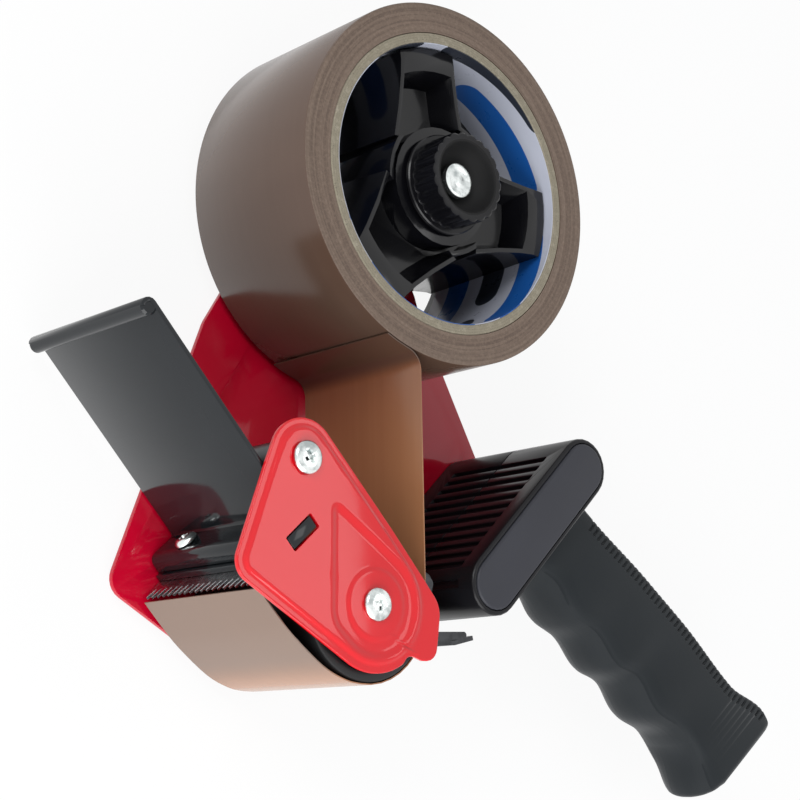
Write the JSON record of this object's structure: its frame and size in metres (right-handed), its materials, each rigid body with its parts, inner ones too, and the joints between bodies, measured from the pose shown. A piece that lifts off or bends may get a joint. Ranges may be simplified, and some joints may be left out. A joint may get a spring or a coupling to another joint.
{
  "type": "tape dispenser",
  "caption": "Handheld packing tape dispenser with a pistol grip, a brown tape roll between red steel side plates, a toothed blade head, a rubber roller and a braked hub",
  "frame": {"origin": "middle of the bounding box's base, the plane the dispenser lies on", "axes": "+Z along the roll's and roller's axles, away from the far side plate; +X toward the pistol grip's side; +Y toward the tape roll"},
  "size_m": [0.2416, 0.2096, 0.0601],
  "materials": {
    "tape_roll": "glossy brown tape, wound tight",
    "tape_film": "glossy brown tape film",
    "cardboard": "grey-beige cardboard with a plain banded liner",
    "hub_plastic": "glossy black moulding",
    "knob_plastic": "glossy black moulding",
    "plain_steel": "plain stamped steel",
    "spring_steel": "drawn spring wire",
    "blade_steel": "ground steel strip",
    "zinc_steel": "bright zinc plate",
    "dark_steel": "dark oiled steel",
    "black_sheet": "satin black coat on pressed sheet",
    "deep_red_paint": "gloss deep red enamel",
    "bright_red_paint": "gloss bright red enamel",
    "fibre": "pressed brown fibre",
    "roller_rubber": "black rubber sleeve",
    "box_plastic": "fine-grained black moulding",
    "cap_plastic": "satin dark grey moulding",
    "grip_rubber": "soft dark grey rubber"
  },
  "bodies": {
    "base": {"frame_plate": "deep_red_paint", "front_side_plate": "bright_red_paint", "spacer_tube": "dark_steel", "spacer_screw_near": "zinc_steel", "spacer_screw_far": "zinc_steel", "roller_screw_near": "zinc_steel", "roller_screw_far": "zinc_steel", "roller_shaft": "zinc_steel", "hub_axle": "zinc_steel", "axle_end": "zinc_steel", "friction_washer": "fibre", "wiper_plate": "black_sheet", "cross_bracket": "black_sheet", "blade": "blade_steel", "wiper_screw_far": "zinc_steel", "wiper_screw_near": "zinc_steel", "handle_box_far": "box_plastic", "handle_box_near": "box_plastic", "handle_box_cap": "cap_plastic", "handle_screw_high": "zinc_steel", "handle_screw_low": "zinc_steel", "grip_sleeve": "grip_rubber", "grip_core": "box_plastic", "lever_pin": "dark_steel", "lever_spring": "spring_steel", "tape_strip": "tape_film"},
    "roll": {"tape_windings": "tape_roll", "tape_core": "cardboard", "hub": "hub_plastic"},
    "roller": {"roller_core": "knob_plastic", "roller_sleeve": "roller_rubber", "roller_bush_far": "fibre", "roller_bush_near": "fibre"},
    "brake": {"thrust_washer": "plain_steel", "brake_spring": "spring_steel"},
    "knob": {"brake_knob": "knob_plastic"},
    "lever": {"retaining_lever": "plain_steel"}
  },
  "joints": [
    {"name": "roll_spin", "type": "hinge", "parent": "base", "child": "roll", "pos_m": [-0.02431, 0.05547, 0.0277], "axis": [0, 0, 1], "continuous": true},
    {"name": "roller_spin", "type": "hinge", "parent": "base", "child": "roller", "pos_m": [-0.05291, -0.05823, 0.0297], "axis": [0, 0, 1], "continuous": true},
    {"name": "brake_press", "type": "slide", "parent": "base", "child": "brake", "axis": [0, 0, 1], "range_m": [-0.00063, 0.00063], "deforming": ["brake_spring"]},
    {"name": "knob_turn", "type": "hinge", "parent": "brake", "child": "knob", "pos_m": [-0.02431, 0.05547, 0.055], "axis": [0, 0, 1], "range_deg": [-180, 180]},
    {"name": "lever_press", "type": "hinge", "parent": "base", "child": "lever", "pos_m": [-0.02951, -0.05103, 0.0287], "axis": [0, 0, 1], "range_deg": [0, 10], "stiffness_Nm_per_rad": 0.05}
  ],
  "couplings": [
    {"joint": "roller_spin", "follows": "roll_spin", "ratio": -2.6649},
    {"joint": "knob_turn", "follows": "brake_press", "rad_per_m": 5026.5}
  ]
}
